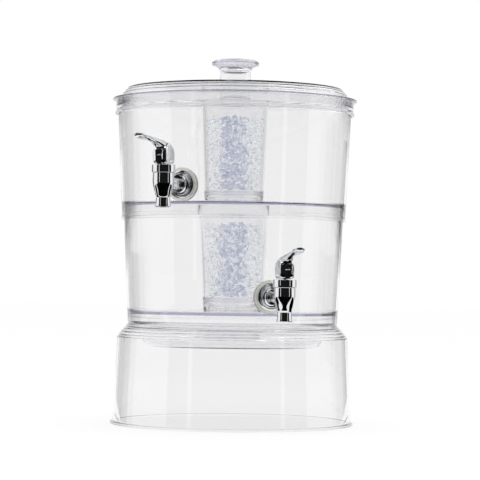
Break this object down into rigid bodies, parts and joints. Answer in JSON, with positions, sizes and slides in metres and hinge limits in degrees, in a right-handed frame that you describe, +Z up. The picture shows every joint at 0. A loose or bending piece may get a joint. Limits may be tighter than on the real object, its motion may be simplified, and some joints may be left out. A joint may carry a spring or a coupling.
{
  "type": "stackable beverage dispenser",
  "caption": "Stacked clear drink tanks on a clear stand, each with a chrome lever tap and a removable ice core, under a knobbed lid.",
  "frame": {"origin": "centre of the stand's foot ring, on the table", "axes": "+Z up along the common axis of stand, tanks and lid; the taps face -Y; +X is to the right when looking at the taps"},
  "size_m": [0.3146, 0.4013, 0.4703],
  "materials": {
    "clear_plastic": "clear, polished",
    "ice": "crushed ice",
    "chrome": "mirror-bright plating",
    "silicone": "milky silicone",
    "seat_rubber": "matte",
    "spring_steel": "drawn wire"
  },
  "bodies": {
    "stand": {"stand": "clear_plastic"},
    "lower_tier": {"lower_tank": "clear_plastic", "lower_tap_body": "chrome", "lower_bonnet": "chrome", "lower_outer_gasket": "silicone", "lower_inner_gasket": "silicone", "lower_shank_nut": "chrome"},
    "upper_tier": {"upper_tank": "clear_plastic", "upper_tap_body": "chrome", "upper_bonnet": "chrome", "upper_outer_gasket": "silicone", "upper_inner_gasket": "silicone", "upper_shank_nut": "chrome"},
    "lid": {"lid": "clear_plastic", "lid_knob": "clear_plastic"},
    "lower_core": {"lower_ice_core": "clear_plastic", "lower_ice": "ice"},
    "upper_core": {"upper_ice_core": "clear_plastic", "upper_ice": "ice"},
    "lower_valve": {"lower_valve_stem": "chrome", "lower_seat_cup": "seat_rubber", "lower_valve_spring": "spring_steel"},
    "upper_valve": {"upper_valve_stem": "chrome", "upper_seat_cup": "seat_rubber", "upper_valve_spring": "spring_steel"},
    "lower_handle": {"lower_lever": "chrome", "lower_lever_pin": "chrome"},
    "upper_handle": {"upper_lever": "chrome", "upper_lever_pin": "chrome"}
  },
  "joints": [
    {"name": "lower_tier_lift", "type": "slide", "parent": "stand", "child": "lower_tier", "axis": [0, 0, 1], "range_m": [0, 0.15]},
    {"name": "upper_tier_lift", "type": "slide", "parent": "lower_tier", "child": "upper_tier", "axis": [0, 0, 1], "range_m": [0, 0.15]},
    {"name": "lid_lift", "type": "slide", "parent": "upper_tier", "child": "lid", "axis": [0, 0, 1], "range_m": [0, 0.12]},
    {"name": "lower_core_twist", "type": "hinge", "parent": "lower_tier", "child": "lower_core", "pos_m": [0, 0, 0.15], "axis": [0, 0, 1], "range_deg": [0, 60]},
    {"name": "upper_core_twist", "type": "hinge", "parent": "upper_tier", "child": "upper_core", "pos_m": [0, 0, 0.29], "axis": [0, 0, 1], "range_deg": [0, 60]},
    {"name": "lower_valve_lift", "type": "slide", "parent": "lower_tier", "child": "lower_valve", "axis": [0, 0, 1], "range_m": [0, 0.0042], "stiffness_N_per_m": 50, "springref_m": -0.01, "deforming": ["lower_valve_spring"]},
    {"name": "upper_valve_lift", "type": "slide", "parent": "upper_tier", "child": "upper_valve", "axis": [0, 0, 1], "range_m": [0, 0.0042], "stiffness_N_per_m": 50, "springref_m": -0.01, "deforming": ["upper_valve_spring"]},
    {"name": "lower_lever_press", "type": "hinge", "parent": "lower_valve", "child": "lower_handle", "pos_m": [0.0625, -0.17748, 0.1965], "axis": [0.9686, 0.2487, 0], "range_deg": [0, 30]},
    {"name": "upper_lever_press", "type": "hinge", "parent": "upper_valve", "child": "upper_handle", "pos_m": [-0.08523, -0.17789, 0.3334], "axis": [0.9018, -0.4321, 0], "range_deg": [0, 26.5]}
  ],
  "couplings": [
    {"joint": "lower_valve_lift", "follows": "lower_lever_press", "m_per_rad": 0.008},
    {"joint": "upper_valve_lift", "follows": "upper_lever_press", "m_per_rad": 0.008}
  ]
}
